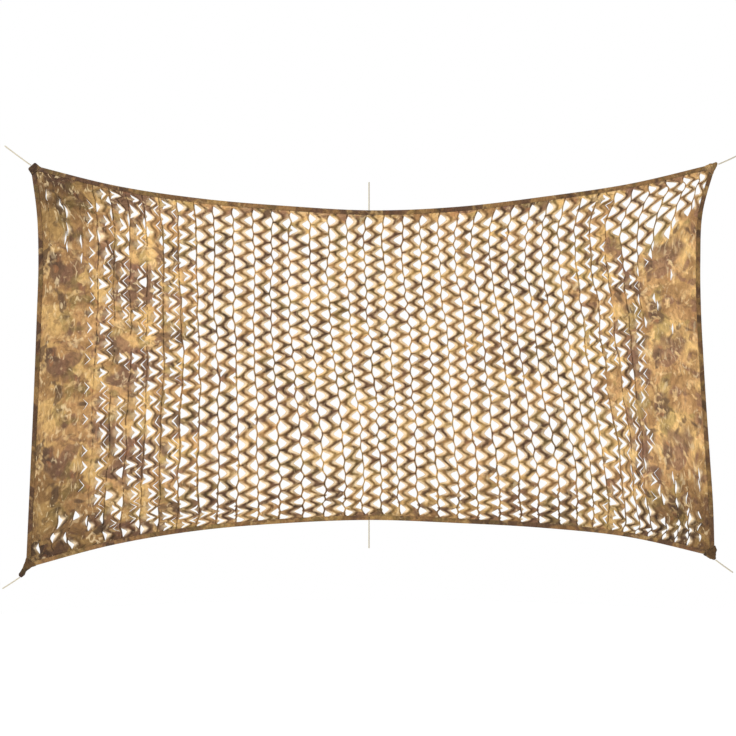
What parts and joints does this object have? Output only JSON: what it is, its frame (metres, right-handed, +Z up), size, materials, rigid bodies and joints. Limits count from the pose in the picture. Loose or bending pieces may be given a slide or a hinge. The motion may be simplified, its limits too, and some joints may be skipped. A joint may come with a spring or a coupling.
{
  "type": "camouflage net",
  "caption": "Wide camouflage net of slit cloth pulled open into zigzag ribbons, with taped edges, corner tabs and tie cords. It screens or shades what is behind it.",
  "frame": {"origin": "middle of the top edge", "axes": "+X along the top edge to the right, +Y through the cloth to its back, +Z up"},
  "size_m": [3.2054, 0.0202, 1.9316],
  "materials": {
    "camouflage_cloth": "printed desert camouflage, plain weave, soft sheen",
    "binding_tape": "printed cloth tape, folded and stitched",
    "corner_tape": "dark brown cloth tape, folded and stitched",
    "tie_cord": "pale twisted cord, matt"
  },
  "bodies": {
    "root": {"net_cloth": "camouflage_cloth", "binding_top": "binding_tape", "binding_bottom": "binding_tape", "binding_left": "binding_tape", "binding_right": "binding_tape", "corner_tab_top_left": "corner_tape", "corner_tab_top_right": "corner_tape", "corner_tab_bottom_left": "corner_tape", "corner_tab_bottom_right": "corner_tape", "tie_cord_top_left": "tie_cord", "tie_cord_top_centre": "tie_cord", "tie_cord_top_right": "tie_cord", "tie_cord_bottom_left": "tie_cord", "tie_cord_bottom_centre": "tie_cord", "tie_cord_bottom_right": "tie_cord"}
  },
  "joints": []
}
